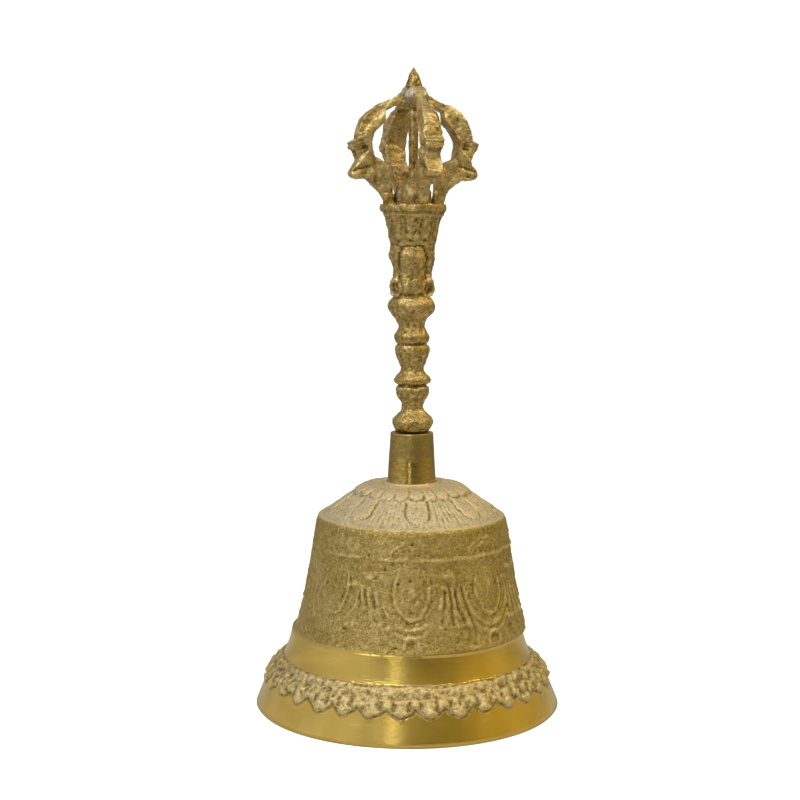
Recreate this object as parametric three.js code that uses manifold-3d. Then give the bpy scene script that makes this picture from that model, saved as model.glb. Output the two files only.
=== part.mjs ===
// A cast brass Tibetan hand bell: a flared bell with a turned lip and waist band, a turned ferrule on
// its crown, a cast baluster handle with a lotus cup, and a cage of four prongs under a spike.
// An eye bolt through the crown carries the clapper.
//
// Millimetres, +Z up. The origin is the centre of the lip, the plane that the bell stands on.
// The front of the bell faces -Y.

import * as THREE from 'three';
import { mergeVertices } from 'three/addons/utils/BufferGeometryUtils.js';
import Module from 'manifold-3d';

const wasm = await Module();
wasm.setup();

// ---------------------------------------------------------------- driving dimensions

const GAP = 0.3;                  // between pieces that touch

const LIP_RADIUS = 42;
const LIP_WALL = 3.1;
const LEAF_COUNT = 32;            // leaves in the border above the lip
const LEAF_PHASE = -3;            // degrees from the front to the first leaf tip
const PETAL_COUNT = 8;            // lotus petals on the shoulder
const BAND_FOOT_Z = 14.2;         // turned band between the border and the waist
const BAND_TOP_Z = 21.4;
const SHOULDER_Z = 52.4;
const CROWN_Z = 61.2;
const CROWN_THICKNESS = 3.4;
const CROWN_HOLE_RADIUS = 2.6;

const FERRULE_FOOT_RADIUS = 6.7;
const FERRULE_TOP_RADIUS = 5.8;
const FERRULE_BORE_RADIUS = 4.5;
const FERRULE_LENGTH = 14;

const TANG_RADIUS = 3.4;
const TANG_LENGTH = 7.4;
const CUP_TOP_Z = 137.6;
const CUP_RADIUS = 9;

const PRONG_COUNT = 4;
const HEAD_TURN = 15;             // degrees that the prong cage is turned on the handle
const PRONG_TOP_Z = 164.9;
const CENTRE_ROD_RADIUS = 1.18;
const SPIKE_TIP_Z = 174;

const EYE_WIRE_RADIUS = 1.1;
const HANGER_EYE_RADIUS = 3.4;    // to the middle of the wire
const HANGER_EYE_Z = 52.6;
const BOLT_RADIUS = 1.9;
const CLAPPER_EYE_RADIUS = 3.2;
const CLAPPER_ROD_RADIUS = 1.2;
const BOB_RADIUS = 6.5;
const BOB_Z = 12;

const FERRULE_FOOT_Z = CROWN_Z + GAP;
const FERRULE_TOP_Z = FERRULE_FOOT_Z + FERRULE_LENGTH;
const PIVOT_Z = HANGER_EYE_Z - HANGER_EYE_RADIUS;
const CLAPPER_EYE_Z = PIVOT_Z + 2 * EYE_WIRE_RADIUS + GAP - CLAPPER_EYE_RADIUS;

// ---------------------------------------------------------------- materials

function metal(colour, roughness, metalness = 1) {
  return new THREE.MeshStandardMaterial({ color: colour, roughness, metalness });
}

const castBrass = metal(0x9c8648, 0.55);
const handleBrass = metal(0x8f7434, 0.5);
const turnedBrass = metal(0xb8923a, 0.22);
const solder = metal(0xa39f92, 0.6);
const steel = metal(0x7d7c78, 0.45);

// ---------------------------------------------------------------- helpers

const bell = new THREE.Group();

function add(name, geometry, material, parent = bell) {
  const mesh = new THREE.Mesh(geometry, material);
  mesh.name = name;
  parent.add(mesh);
  return mesh;
}

function radians(degrees) {
  return THREE.MathUtils.degToRad(degrees);
}

// Turns an outline of (radius, height) points about Z. The outline runs up its outer side.
// The first column of vertices faces -Y, turned by startAngle towards +X.
function turned(outline, segments, startAngle = 0) {
  const geometry = new THREE.LatheGeometry(outline, segments, startAngle);
  return geometry.rotateX(Math.PI / 2);
}

function points(...pairs) {
  return pairs.map(([radius, height]) => new THREE.Vector2(radius, height));
}

// A hollow turned piece: an outline that closes on itself.
function turnedRing(outline, segments) {
  return turned([...outline, outline[0].clone()], segments);
}

function toSolid(geometry) {
  const bare = geometry.clone();
  bare.deleteAttribute('normal');
  bare.deleteAttribute('uv');
  const merged = mergeVertices(bare, 1e-4);
  const corners = merged.index.array;
  const triangles = [];
  for (let i = 0; i < corners.length; i += 3) {
    const [a, b, c] = corners.slice(i, i + 3);
    if (a !== b && b !== c && c !== a) triangles.push(a, b, c);
  }
  return new wasm.Manifold(new wasm.Mesh({
    numProp: 3,
    vertProperties: merged.attributes.position.array,
    triVerts: Uint32Array.from(triangles),
  }));
}

function joined(...geometries) {
  const solids = geometries.map(toSolid);
  const mesh = solids.reduce((whole, next) => whole.add(next)).getMesh();
  const geometry = new THREE.BufferGeometry();
  geometry.setAttribute('position', new THREE.BufferAttribute(mesh.vertProperties, 3));
  geometry.setIndex(new THREE.BufferAttribute(mesh.triVerts, 1));
  geometry.computeVertexNormals();
  return geometry;
}

// Moves every vertex of a piece by move(position), which changes the position in place.
function reshaped(geometry, move) {
  const places = geometry.attributes.position;
  const place = new THREE.Vector3();
  for (let i = 0; i < places.count; i += 1) {
    move(place.fromBufferAttribute(places, i));
    places.setXYZ(i, place.x, place.y, place.z);
  }
  geometry.computeVertexNormals();
  return geometry;
}

// Pushes a vertex away from the Z axis, or towards it when distance is negative.
function pushOut(place, distance) {
  const radius = Math.hypot(place.x, place.y);
  place.x *= 1 + distance / radius;
  place.y *= 1 + distance / radius;
}

// The angle of a place round the Z axis, in radians from the front (-Y) towards +X.
function angleOf(place) {
  return Math.atan2(place.x, -place.y);
}

// ---------------------------------------------------------------- bell shell

// One casting: a turned lip, a leaf border under a rope rim, a turned band, a cast waist, and a
// petalled shoulder that closes to a flat crown with the eye bolt's hole.
function bellShell() {
  const segments = 2 * LEAF_COUNT;
  const lipBottom = LIP_RADIUS - LIP_WALL;
  const outline = new THREE.Path();
  outline.moveTo(lipBottom, 0);
  outline.lineTo(LIP_RADIUS - 0.4, 0);
  outline.lineTo(LIP_RADIUS, 0.5);
  outline.lineTo(LIP_RADIUS - 2.8, 7.6);
  outline.lineTo(LIP_RADIUS - 2.7, 8.2);          // leaf tips
  outline.lineTo(LIP_RADIUS - 4.4, 10.4);
  outline.lineTo(LIP_RADIUS - 6.2, 11.9);         // hollow under the rope
  outline.lineTo(LIP_RADIUS - 6.2, 12.7);
  outline.lineTo(LIP_RADIUS - 7.0, BAND_FOOT_Z - 0.3);
  outline.lineTo(LIP_RADIUS - 7.9, BAND_FOOT_Z);
  outline.quadraticCurveTo(32.5, 17.6, 31.8, BAND_TOP_Z);
  outline.lineTo(32.1, BAND_TOP_Z + 0.2);
  outline.quadraticCurveTo(29.3, 31, 27.4, 44.6);
  outline.lineTo(26.4, SHOULDER_Z - 1.8);
  outline.quadraticCurveTo(26.3, SHOULDER_Z - 0.3, 25.6, SHOULDER_Z + 0.1);
  outline.quadraticCurveTo(18.4, 59.3, 8.5, CROWN_Z);
  outline.lineTo(CROWN_HOLE_RADIUS, CROWN_Z);
  outline.lineTo(CROWN_HOLE_RADIUS, CROWN_Z - CROWN_THICKNESS);
  outline.lineTo(8, CROWN_Z - CROWN_THICKNESS);
  outline.quadraticCurveTo(17.8, 56.3, 23.2, 49.8);
  outline.lineTo(24.4, 45);
  outline.quadraticCurveTo(26.3, 32, 28.9, 21);
  outline.quadraticCurveTo(31, 13, 35.4, 6.5);
  outline.lineTo(lipBottom, 0);
  const geometry = turned(outline.getPoints(5), segments, radians(LEAF_PHASE));
  return reshaped(geometry, relief);
}

// Between two leaf tips the border's edge runs back up the wall, and the shoulder's petals stand
// proud of the grooves between them.
function relief(place) {
  const radius = Math.hypot(place.x, place.y);
  const angle = angleOf(place);
  const leaf = Math.cos(LEAF_COUNT * (angle - radians(LEAF_PHASE)));
  const onLeafEdge = radius > LIP_RADIUS - 3 && place.z > 7 && place.z < 9;
  if (onLeafEdge && leaf < 0) {
    place.z += 1.2;
    pushOut(place, -0.75);
  }
  const onPetals = place.z > SHOULDER_Z + 1 && place.z < CROWN_Z - 0.5 && radius > 12;
  const outside = place.z > 57 || radius > 21;
  if (onPetals && outside) {
    pushOut(place, 0.3 * Math.cos(PETAL_COUNT * angle));
  }
}

add('bell_shell', bellShell(), castBrass);

// ---------------------------------------------------------------- ferrule

// A tapered turned tube. It hides the eye bolt's nut and holds the handle's tang.
function ferrule() {
  const rimRound = 0.4;
  return turnedRing(points(
    [FERRULE_BORE_RADIUS, FERRULE_FOOT_Z],
    [FERRULE_FOOT_RADIUS, FERRULE_FOOT_Z],
    [FERRULE_TOP_RADIUS, FERRULE_TOP_Z - rimRound],
    [FERRULE_TOP_RADIUS - rimRound, FERRULE_TOP_Z],
    [FERRULE_BORE_RADIUS, FERRULE_TOP_Z],
  ), 40);
}

// The fillet of braze round the ferrule's foot.
function ferruleBraze() {
  const inner = FERRULE_FOOT_RADIUS + GAP;
  return turnedRing(points(
    [inner, FERRULE_FOOT_Z],
    [inner + 1.1, FERRULE_FOOT_Z],
    [inner + 0.5, FERRULE_FOOT_Z + 0.5],
    [inner, FERRULE_FOOT_Z + 1],
  ), 40);
}

// The solder that holds the tang in the ferrule's bore.
function tangSolder() {
  const inner = TANG_RADIUS + GAP;
  const outer = FERRULE_BORE_RADIUS - GAP;
  const bottom = FERRULE_TOP_Z - 5.5;
  const top = FERRULE_TOP_Z - 0.5;
  return turnedRing(points([inner, bottom], [outer, bottom], [outer, top], [inner, top]), 24);
}

add('ferrule', ferrule(), turnedBrass);
add('ferrule_braze', ferruleBraze(), solder);
add('tang_solder', tangSolder(), solder);

// ---------------------------------------------------------------- handle shaft

// The beads of the baluster, from the foot up: height, radius and half length.
const BEADS = [
  { z: 78.4, radius: 5.5, reach: 2.4 },
  { z: 87.0, radius: 4.5, reach: 2.9 },
  { z: 89.9, radius: 5.0, reach: 1.2 },
  { z: 97.7, radius: 4.6, reach: 3.4 },
  { z: 101.6, radius: 4.9, reach: 1.5 },
  { z: 110.0, radius: 6.5, reach: 2.9 },
  { z: 119.0, radius: 5.6, reach: 12.0 },
];

function handleRadius(z) {
  const core = THREE.MathUtils.mapLinear(z, 80, 106, 2.9, 3.6);
  const bead = ({ z: middle, radius, reach }) => {
    const along = Math.min(1, Math.abs(z - middle) / reach);
    return core + (radius - core) * Math.sqrt(1 - along * along);
  };
  return Math.max(core, ...BEADS.map(bead));
}

// The cast shaft: a tang, the beads, a worn oval body, and the lotus cup that the prongs stand on.
function handleShaft() {
  const step = 0.9;
  const neckZ = FERRULE_TOP_Z + GAP;
  const cupFootZ = 126.5;
  const outline = points(
    [0, FERRULE_TOP_Z - TANG_LENGTH],
    [TANG_RADIUS, FERRULE_TOP_Z - TANG_LENGTH],
    [TANG_RADIUS, neckZ],
    [4.3, neckZ + 0.2],
  );
  for (let z = neckZ + step; z < cupFootZ; z += step) {
    outline.push(new THREE.Vector2(handleRadius(z), z));
  }
  const cup = new THREE.Path();
  cup.moveTo(6.2, cupFootZ);
  cup.quadraticCurveTo(7, 133, CUP_RADIUS, CUP_TOP_Z - 1.4);
  cup.lineTo(CUP_RADIUS - 0.4, CUP_TOP_Z);
  cup.lineTo(0, CUP_TOP_Z);
  outline.push(...cup.getPoints(6));
  return reshaped(turned(outline, 20), sideLumps);
}

// Worn lumps on the two sides of the oval body, the upper one on the left only.
function sideLumps(place) {
  const bump = (middle, reach) => Math.exp(-(((place.z - middle) / reach) ** 2));
  const side = Math.sin(angleOf(place));
  if (place.z > 111 && place.z < 128) {
    pushOut(place, 0.5 * side * side * bump(115.5, 1.8));
    pushOut(place, 0.9 * Math.max(0, -side) * bump(123.6, 2.2));
  }
}

add('handle_shaft', handleShaft(), handleBrass);

// ---------------------------------------------------------------- prong cage

// Half the thickness of a prong across its plane, at each height.
function prongHalfWidth(z) {
  const { smoothstep } = THREE.MathUtils;
  const foot = 1.6 + 1.1 * smoothstep(z, 141.5, 144);
  const limb = foot + 0.3 * smoothstep(z, 150, 155);
  return limb - 1.35 * smoothstep(z, 160, 163.4);
}

// One prong: a curved limb with a snout that ends in a thorn and a lump, a tooth inside, and an
// inner end that stops short of its neighbours at the top. X is outwards, and Z is up.
function prong() {
  const innerEnd = 2.2;
  const footZ = CUP_TOP_Z + GAP;
  const outline = new THREE.Shape();
  outline.moveTo(4.6, footZ);
  outline.lineTo(8.2, footZ);
  outline.quadraticCurveTo(9.2, 141.6, 12.7, 144.1);
  outline.lineTo(16.2, 144.4);
  outline.lineTo(17.6, 145.7);
  outline.lineTo(15.85, 149.2);
  outline.lineTo(18, 153.7);
  outline.lineTo(16.3, 154.6);
  outline.quadraticCurveTo(15.9, 160.8, 10.9, 163.5);
  outline.lineTo(7.9, PRONG_TOP_Z);
  outline.lineTo(innerEnd, PRONG_TOP_Z);
  outline.lineTo(innerEnd, 163.3);
  outline.lineTo(5.1, 163.5);
  outline.lineTo(8.2, 162.2);
  outline.lineTo(8.3, 159);
  outline.quadraticCurveTo(13.7, 155, 10.6, 149.7);
  outline.lineTo(8.4, 148.5);
  outline.lineTo(6.9, 146.5);
  outline.quadraticCurveTo(5.9, 142.6, 4.6, footZ);
  const geometry = new THREE.ExtrudeGeometry(outline, { depth: 2, bevelEnabled: false, curveSegments: 6 });
  geometry.translate(0, 0, -1);
  geometry.rotateX(Math.PI / 2);
  return reshaped(geometry, (place) => {
    place.y *= prongHalfWidth(place.z);
  });
}

const cage = new THREE.Group();
cage.rotation.z = radians(HEAD_TURN);
bell.add(cage);

const PRONG_NAMES = ['prong_right', 'prong_back', 'prong_left', 'prong_front'];
for (let i = 0; i < PRONG_COUNT; i += 1) {
  const mesh = add(PRONG_NAMES[i], prong(), handleBrass, cage);
  mesh.rotation.z = (i * 2 * Math.PI) / PRONG_COUNT;
}

// The lump of solder that beds the prongs and the rod on the cup.
const BED_TOP_Z = CUP_TOP_Z + 8.4;

function solderBed() {
  return turned(points(
    [0, CUP_TOP_Z + GAP],
    [4, CUP_TOP_Z + GAP],
    [5, CUP_TOP_Z + 4],
    [5.1, CUP_TOP_Z + 6.4],
    [3.2, BED_TOP_Z],
    [0, BED_TOP_Z],
  ), 18);
}

// A straight rod on the axis, inside the cage.
function centreRod() {
  const bottom = BED_TOP_Z + GAP;
  const top = PRONG_TOP_Z - GAP;
  const geometry = new THREE.CylinderGeometry(CENTRE_ROD_RADIUS, CENTRE_ROD_RADIUS, top - bottom, 14);
  geometry.rotateX(Math.PI / 2);
  return geometry.translate(0, 0, (bottom + top) / 2);
}

// Solder between the prongs' tops and the spike.
const SOLDER_CAP_TOP_Z = PRONG_TOP_Z + GAP + 0.9;

function solderCap() {
  return turned(points(
    [0, PRONG_TOP_Z + GAP],
    [6, PRONG_TOP_Z + GAP],
    [4.9, SOLDER_CAP_TOP_Z],
    [0, SOLDER_CAP_TOP_Z],
  ), 24);
}

// The spike sweeps in from the cap to a point.
function finialSpike() {
  const foot = SOLDER_CAP_TOP_Z + GAP;
  const outline = new THREE.Path();
  outline.moveTo(0, foot);
  outline.lineTo(4.7, foot);
  outline.quadraticCurveTo(2.2, 168.9, 1.6, 171.4);
  outline.lineTo(0, SPIKE_TIP_Z);
  return turned(outline.getPoints(6), 20);
}

add('solder_bed', solderBed(), solder);
add('centre_rod', centreRod(), handleBrass);
add('solder_cap', solderCap(), solder);
add('finial_spike', finialSpike(), handleBrass);

// ---------------------------------------------------------------- clapper hanger

// A ring of round wire that stands in the XZ plane, centred at height z.
function wireEye(radius, z) {
  const geometry = new THREE.TorusGeometry(radius, EYE_WIRE_RADIUS, 10, 24);
  geometry.rotateX(Math.PI / 2);
  return geometry.translate(0, 0, z);
}

const WASHER_THICKNESS = 0.8;
const NUT_THICKNESS = 3;
const NUT_FLATS = 7;
const WASHER_Z = CROWN_Z + GAP;
const NUT_Z = WASHER_Z + WASHER_THICKNESS + GAP;

// The eye bolt turns freely in the crown's hole.
function hangerEye() {
  const bottom = HANGER_EYE_Z + HANGER_EYE_RADIUS - 0.4;
  const top = NUT_Z + NUT_THICKNESS + 1;
  const shank = new THREE.CylinderGeometry(BOLT_RADIUS, BOLT_RADIUS, top - bottom, 16);
  shank.rotateX(Math.PI / 2);
  shank.translate(0, 0, (bottom + top) / 2);
  return joined(wireEye(HANGER_EYE_RADIUS, HANGER_EYE_Z), shank);
}

function hangerWasher() {
  const bore = BOLT_RADIUS + GAP;
  const outer = FERRULE_BORE_RADIUS - GAP;
  const top = WASHER_Z + WASHER_THICKNESS;
  return turnedRing(points([bore, WASHER_Z], [outer, WASHER_Z], [outer, top], [bore, top]), 24);
}

function hangerNut() {
  const sides = 6;
  const outline = new THREE.Shape();
  const cornerRadius = NUT_FLATS / 2 / Math.cos(Math.PI / sides);
  const corners = Array.from({ length: sides }, (_, i) => {
    const angle = (i * 2 * Math.PI) / sides;
    return new THREE.Vector2(cornerRadius * Math.cos(angle), cornerRadius * Math.sin(angle));
  });
  outline.setFromPoints(corners);
  const bore = new THREE.Path();
  bore.absarc(0, 0, BOLT_RADIUS + GAP, 0, 2 * Math.PI, true);
  outline.holes.push(bore);
  const options = { depth: NUT_THICKNESS, bevelEnabled: false, curveSegments: 16 };
  return new THREE.ExtrudeGeometry(outline, options).translate(0, 0, NUT_Z);
}

add('hanger_eye', hangerEye(), steel);
add('hanger_washer', hangerWasher(), steel);
add('hanger_nut', hangerNut(), steel);

// ---------------------------------------------------------------- clapper

const HEAD_THICKNESS = 1.2;

// The rod runs from its eye, looped through the hanger's eye, down through the bob to a peened head.
function clapperShank() {
  const top = CLAPPER_EYE_Z - CLAPPER_EYE_RADIUS + 0.4;
  const headTop = BOB_Z - BOB_RADIUS - GAP;
  const rod = turned(points(
    [0, headTop - HEAD_THICKNESS],
    [1.7, headTop - HEAD_THICKNESS],
    [2.4, headTop],
    [CLAPPER_ROD_RADIUS, headTop],
    [CLAPPER_ROD_RADIUS, top],
    [0, top],
  ), 16);
  const eye = wireEye(CLAPPER_EYE_RADIUS, CLAPPER_EYE_Z).rotateZ(Math.PI / 2);
  return joined(eye, rod);
}

// A round bob with a short neck, bored through for the rod.
function clapperBob() {
  const bore = CLAPPER_ROD_RADIUS + GAP;
  const neckRadius = 2.6;
  const start = Math.asin(3 / BOB_RADIUS);
  const end = Math.acos(neckRadius / BOB_RADIUS);
  const arc = new THREE.Path();
  arc.absarc(0, BOB_Z, BOB_RADIUS, start - Math.PI / 2, end, false);
  const neckTop = BOB_Z + BOB_RADIUS + 1.6;
  return turnedRing([
    new THREE.Vector2(bore, BOB_Z - BOB_RADIUS),
    new THREE.Vector2(BOB_RADIUS * Math.sin(start), BOB_Z - BOB_RADIUS),
    ...arc.getPoints(12),
    ...points([neckRadius, neckTop], [bore, neckTop]),
  ], 24);
}

add('clapper_shank', clapperShank(), steel);
add('clapper_bob', clapperBob(), turnedBrass);

export default bell;
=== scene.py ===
import math

import bpy
import numpy as np
from mathutils import Euler, Matrix, Vector


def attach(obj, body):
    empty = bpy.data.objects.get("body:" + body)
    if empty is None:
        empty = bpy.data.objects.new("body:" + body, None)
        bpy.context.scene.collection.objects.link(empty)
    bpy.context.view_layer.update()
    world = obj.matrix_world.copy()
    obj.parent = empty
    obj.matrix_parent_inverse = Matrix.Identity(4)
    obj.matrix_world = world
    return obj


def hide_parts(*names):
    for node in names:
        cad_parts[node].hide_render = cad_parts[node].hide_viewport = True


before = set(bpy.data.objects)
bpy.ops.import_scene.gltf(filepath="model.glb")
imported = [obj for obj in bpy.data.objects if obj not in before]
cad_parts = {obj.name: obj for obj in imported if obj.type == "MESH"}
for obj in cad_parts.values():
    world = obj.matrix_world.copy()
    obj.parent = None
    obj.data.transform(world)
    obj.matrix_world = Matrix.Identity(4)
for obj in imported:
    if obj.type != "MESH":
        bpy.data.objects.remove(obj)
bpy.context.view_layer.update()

# The looks of a cast brass hand bell. Shapes are worked out in millimetres, in the frame's axes:
# +Z up, the front towards -Y. Angles are in degrees from the front, growing towards +X.

MM = 0.001
RANDOM = np.random.default_rng(11)
LATTICE_SIZE = 24
LATTICE = RANDOM.uniform(-1, 1, (LATTICE_SIZE,) * 3)

COLUMNS = 512                     # round the bell: 16 for each leaf of its border
LEAF_COUNT = 32
LEAF_PHASE = -3                   # degrees
LEAF_TIP_Z = 7.0
BORDER_TOP_Z = 13.9               # the border's rope rim ends just under the band
BAND_FOOT_Z = 14.2
BAND_TOP_Z = 21.3
LIP_OFF_CENTRE = 1.0              # the lathe that turned the lip and the band ran a little off
WAIST_LINE_Z = 45.3
MEDALLION_PITCH = 45
MEDALLION_Z = 37.2
MEDALLION_CUP_Z = 22.4            # the small cup under each medallion
SHOULDER_EDGE_Z = 52.7            # where the waist turns over into the shoulder
PETAL_PHASE = 4                   # degrees
CROWN_Z = 61.2
CROWN_UNDERSIDE_Z = 57.8
CROWN_HOLE_RADIUS = 2.6
HOLE_COUNT = 60                   # blow holes in the waist

HANDLE_STEP = 0.22                # between the rows of the handle's grid
CUP_FOOT_Z = 126.5
CUP_RIM_Z = 135.5
CUP_TOP_Z = 137.6
FOOT_Z = 137.3                    # the cage and its solder sink a little into the cup's top
CAGE_TURN = 15                    # degrees that the prong cage is turned on the handle
PRONG_SIDES = ("right", "back", "left", "front")
PRONG_LEANS = (0, 8, -1, 4)       # degrees that each of them was set out of square
PRONG_WIDTHS = (1, 1, 1, 0.86)    # and how thick it is, beside a full one

# The marks of cast brass that is neither turned nor dusty nor pitted.
UNMARKED = {"turned": 0.0, "pale": 0.0, "pit": 0.0}


# ---------------------------------------------------------------- shaping helpers

def lumps(places, size):
    """Smooth seeded noise from -1 to 1 at each place, with lumps of about that size."""
    cell = np.floor(places / size).astype(int)
    part = places / size - cell
    part = part * part * (3 - 2 * part)
    total = 0
    for corner in np.ndindex(2, 2, 2):
        weight = np.prod(np.where(corner, part, 1 - part), -1)
        index = (cell + corner) % LATTICE_SIZE
        total = total + weight * LATTICE[index[..., 0], index[..., 1], index[..., 2]]
    return total


def hill(value, middle, reach):
    """A smooth hill of height 1."""
    return np.exp(-(((value - middle) / reach) ** 2))


def rise(value, start, end):
    """0 before start, 1 after end, and smooth between them."""
    part = np.clip((value - start) / (end - start), 0, 1)
    return part * part * (3 - 2 * part)


def window(value, start, end, soft):
    """1 from start to end, with soft ends inside them."""
    return rise(value, start, start + soft) * (1 - rise(value, end - soft, end))


def offset(angle, pitch, phase=0.0):
    """The angle from the nearest of the copies that stand at phase and every pitch from it."""
    return (angle - phase + pitch / 2) % pitch - pitch / 2


def nearest(angle, pitch, phase):
    """The number of the nearest of those copies."""
    return np.round((angle - phase) / pitch).astype(int) % round(360 / pitch)


def lobes(angle, count, phase=0.0):
    """Round ribs side by side: 1 on a rib's crest, and 0 in the sharp groove between two."""
    return np.abs(np.cos(np.radians(count * (angle - phase) / 2)))


def oval_line(across, up, half_width, half_height, reach):
    """A hill along an oval. All four lengths are in mm."""
    size = np.hypot(across / half_width, up / half_height) + 1e-6
    slope = np.hypot(across / half_width ** 2, up / half_height ** 2) / size + 1e-6
    return hill((size - 1) / slope, 0, reach)


def outline(start, *stretches):
    """Points along an outline of (radius, height). A stretch is (number of points, end) for a line,
    and (number of points, control, end) for a curve."""
    found = [np.array(start, float)]
    for count, *ends in stretches:
        first, last = found[-1], np.array(ends[-1], float)
        control = np.array(ends[0], float) if len(ends) == 2 else (first + last) / 2
        for t in np.linspace(0, 1, count + 1)[1:]:
            found.append((1 - t) ** 2 * first + 2 * t * (1 - t) * control + t ** 2 * last)
    return np.array(found)


class Turned:
    """The grid of a turned outline: rows along the outline, which runs up the outer side, and
    columns round the axis."""

    def __init__(self, points, columns, ring=False):
        self.angle, self.radius = np.meshgrid(
            np.linspace(-180, 180, columns, endpoint=False), points[:, 0])
        self.height = np.repeat(points[:, 1:], columns, 1)
        ends = np.vstack([points[-1:], points, points[:1]]) if ring else np.vstack(
            [2 * points[0] - points[1], points, 2 * points[-1] - points[-2]])
        along = ends[2:] - ends[:-2]
        along = along / (np.hypot(along[:, 0], along[:, 1])[:, None] + 1e-9)
        self.out, self.up = along[:, 1:], -along[:, :1]

    def places(self, relief=0.0):
        """The places in mm, each moved along the surface's normal by relief."""
        radius = self.radius + relief * self.out
        turn = np.radians(self.angle)
        return np.stack([radius * np.sin(turn), -radius * np.cos(turn),
                         self.height + relief * self.up], -1)


# Its result drives the painted highlight on relief crests and the painted shade in hollows.
def standing(relief, reach):
    """How far each place of a relief stands above its surroundings, in mm."""
    around = relief
    for axis in (0, 1):
        shifted = [np.roll(around, step, axis) for step in range(-reach, reach + 1)]
        around = sum(shifted) / len(shifted)
    return relief - around


def mesh_of(name, vertices, faces, marks):
    """A smooth mesh from places in mm. Each mark becomes an attribute of its vertices."""
    mesh = bpy.data.meshes.new(name)
    mesh.from_pydata((np.asarray(vertices) * MM).tolist(), [], faces)
    for mark, values in marks.items():
        mesh.attributes.new(mark, "FLOAT", "POINT").data.foreach_set(
            "value", np.asarray(values, np.float32))
    mesh.shade_smooth()
    return mesh


def grid_faces(index, ring):
    """The quads of a grid of vertex numbers whose columns go round. With ring, its rows do too."""
    lower = index if ring else index[:-1]
    upper = np.roll(index, -1, 0) if ring else index[1:]
    faces = np.stack([lower, np.roll(lower, -1, 1), np.roll(upper, -1, 1), upper], -1)
    return faces.reshape(-1, 4).tolist()


def skin(name, places, ring=False, **marks):
    """A closed mesh through a grid of places whose columns go round. With ring, the last row meets
    the first one; without it, a point closes each end. Each mark becomes an attribute."""
    shape = places.shape[:2]
    vertices = places.reshape(-1, 3)
    index = np.arange(len(vertices)).reshape(shape)
    faces = grid_faces(index, ring)
    values = {mark: np.broadcast_to(grid, shape).reshape(-1) for mark, grid in marks.items()}
    if not ring:
        for row, order in ((0, -1), (-1, 1)):
            tip = len(vertices)
            vertices = np.vstack([vertices, places[row].mean(0)])
            values = {mark: np.append(flat, flat[index[row, 0]]) for mark, flat in values.items()}
            for pair in zip(index[row], np.roll(index[row], -1)):
                faces.append([*pair[::order], tip])
    return mesh_of(name, vertices, faces, values)


def piece(mesh, material, slot, body, *nodes):
    """A shown piece that stands for CAD nodes and rides on their body."""
    shown = bpy.data.objects.new(mesh.name, mesh)
    bpy.context.scene.collection.objects.link(shown)
    mesh.materials.append(material)
    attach(shown, body)
    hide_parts(*nodes)


# ---------------------------------------------------------------- materials

class Nodes:
    """Short ways to build a tree of shader nodes."""

    def __init__(self, tree):
        self.tree = tree

    def add(self, kind, inputs=(), **settings):
        """A node with those settings. Each of its inputs takes a value or another node's socket."""
        node = self.tree.nodes.new("ShaderNode" + kind)
        for setting, value in settings.items():
            setattr(node, setting, value)
        for socket, value in dict(inputs).items():
            self.feed(node.inputs[socket], value)
        return node

    def feed(self, socket, value):
        """Links another node's socket to this one, or sets its value."""
        if isinstance(value, bpy.types.NodeSocket):
            self.tree.links.new(value, socket)
        else:
            socket.default_value = value

    def sum(self, kind, first, second, third=0.0):
        """One step of arithmetic."""
        values = {0: first, 1: second, 2: third}
        return self.add("Math", values, operation=kind).outputs["Value"]

    def span(self, value, low, high, start=0.0, end=1.0, **settings):
        """Maps low..high to start..end, and holds it there outside."""
        values = {"Value": value, "From Min": low, "From Max": high, "To Min": start, "To Max": end}
        return self.add("MapRange", values, **settings).outputs["Result"]

    def mix(self, share, first, second):
        """The first colour where share is 0, the second where it is 1."""
        node = self.add("Mix", data_type="RGBA")
        for socket, value in zip((node.inputs[0], node.inputs[6], node.inputs[7]),
                                 (share, first, second)):
            self.feed(socket, (*value, 1) if isinstance(value, tuple) else value)
        return node.outputs[2]


class Paint(Nodes):
    """A material with one shader, in the object's own coordinates."""

    def __init__(self, name):
        self.material = bpy.data.materials.new(name)
        self.material.use_nodes = True
        super().__init__(self.material.node_tree)
        self.shader = self.tree.nodes["Principled BSDF"]
        self.coordinates = self.add("TexCoord").outputs["Object"]

    def mark(self, name):
        """An attribute that the mesh carries."""
        return self.add("Attribute", attribute_name=name).outputs["Fac"]

    def noise(self, size, detail, stretch=None):
        """Noise from 0 to 1 with lumps of that size in mm. stretch multiplies the three axes."""
        vector = self.coordinates
        if stretch:
            vector = self.add("Mapping", {"Vector": vector, "Scale": stretch}).outputs["Vector"]
        values = {"Vector": vector, "Scale": 1 / (size * MM), "Detail": detail}
        return self.add("TexNoise", values).outputs["Fac"]

    def bump(self, height, distance, below=None):
        """A bump of that distance in mm, on top of another one."""
        node = self.add("Bump", {"Height": height, "Distance": distance * MM})
        if below:
            self.feed(node.inputs["Normal"], below)
        return node.outputs["Normal"]

    def finish(self, colour, roughness, metallic, normal):
        """The finished material."""
        for socket, value in (("Base Color", colour), ("Roughness", roughness),
                              ("Metallic", metallic), ("Normal", normal)):
            self.feed(self.shader.inputs[socket], value)
        return self.material


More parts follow.
